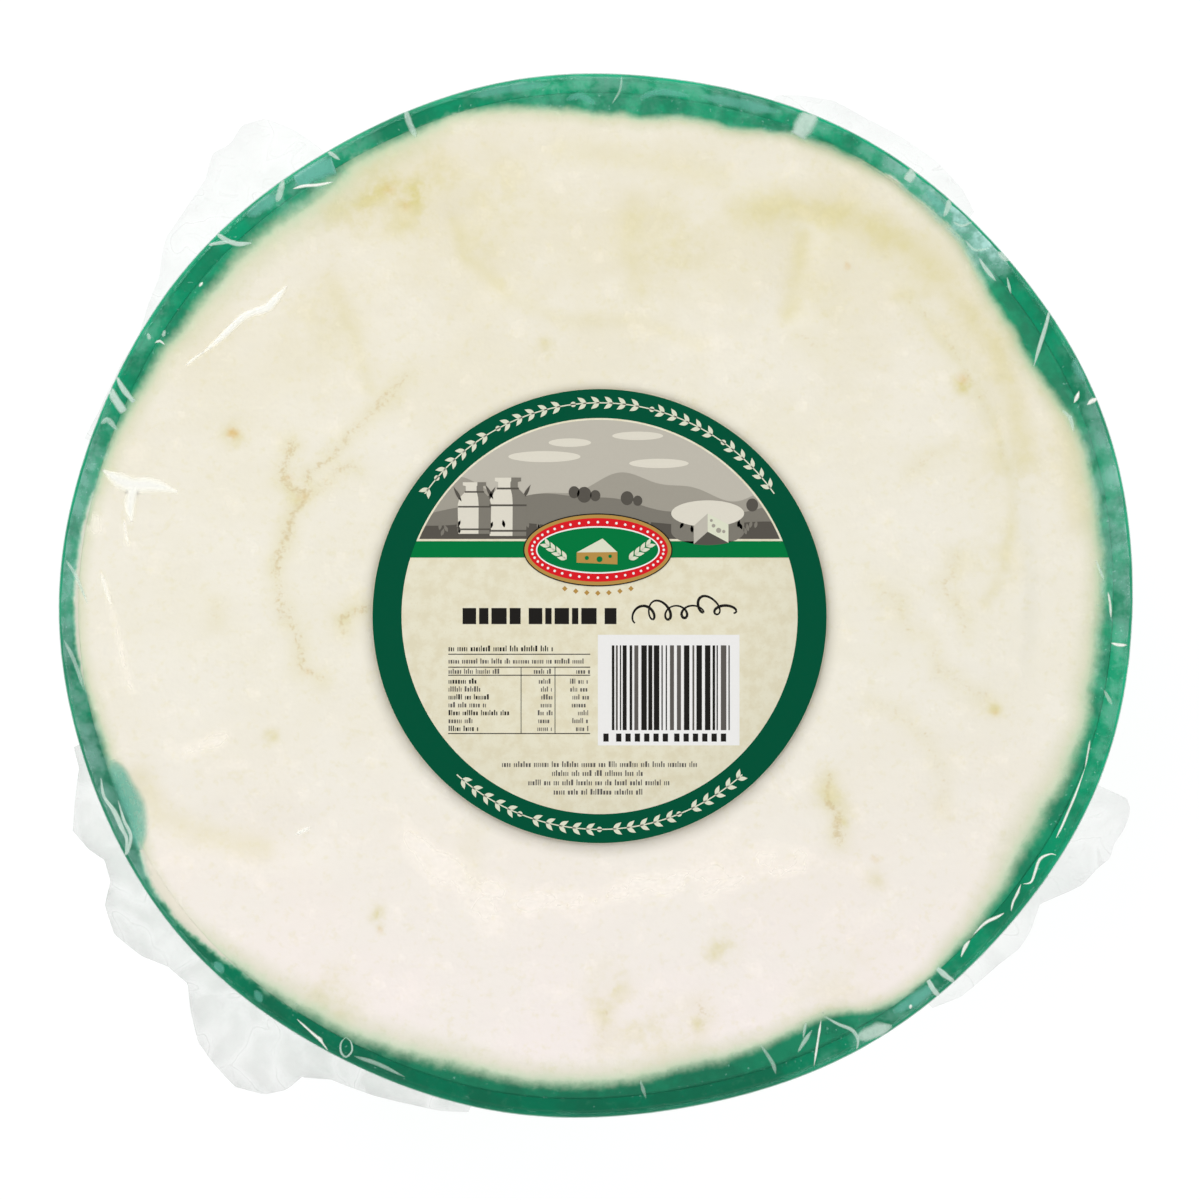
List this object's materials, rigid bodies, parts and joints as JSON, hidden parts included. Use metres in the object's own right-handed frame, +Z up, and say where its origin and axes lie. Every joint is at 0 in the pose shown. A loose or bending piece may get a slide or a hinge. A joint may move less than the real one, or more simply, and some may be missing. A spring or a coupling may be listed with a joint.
{
  "type": "ricotta cheese wheel",
  "caption": "Round wheel of fresh white curd cheese in a shallow green plastic tub, sealed in clear film, with a round paper label on top.",
  "frame": {"origin": "middle of the tub's flat base, on the surface that the pack stands on", "axes": "+Z up through the wheel, +Y towards the top of the label"},
  "size_m": [0.2536, 0.2465, 0.0739],
  "materials": {
    "tub_plastic": "smooth green plastic, wet under the film",
    "ricotta": "soft cream-white fresh curd with fine grain, small cracks and pale yellow whey stains",
    "label_paper": "printed coated paper, cream with a dark green border",
    "clear_film": "glossy clear vacuum film with creases"
  },
  "bodies": {
    "root": {"tub": "tub_plastic", "ricotta_wheel": "ricotta", "label": "label_paper", "vacuum_bag": "clear_film"}
  },
  "joints": []
}
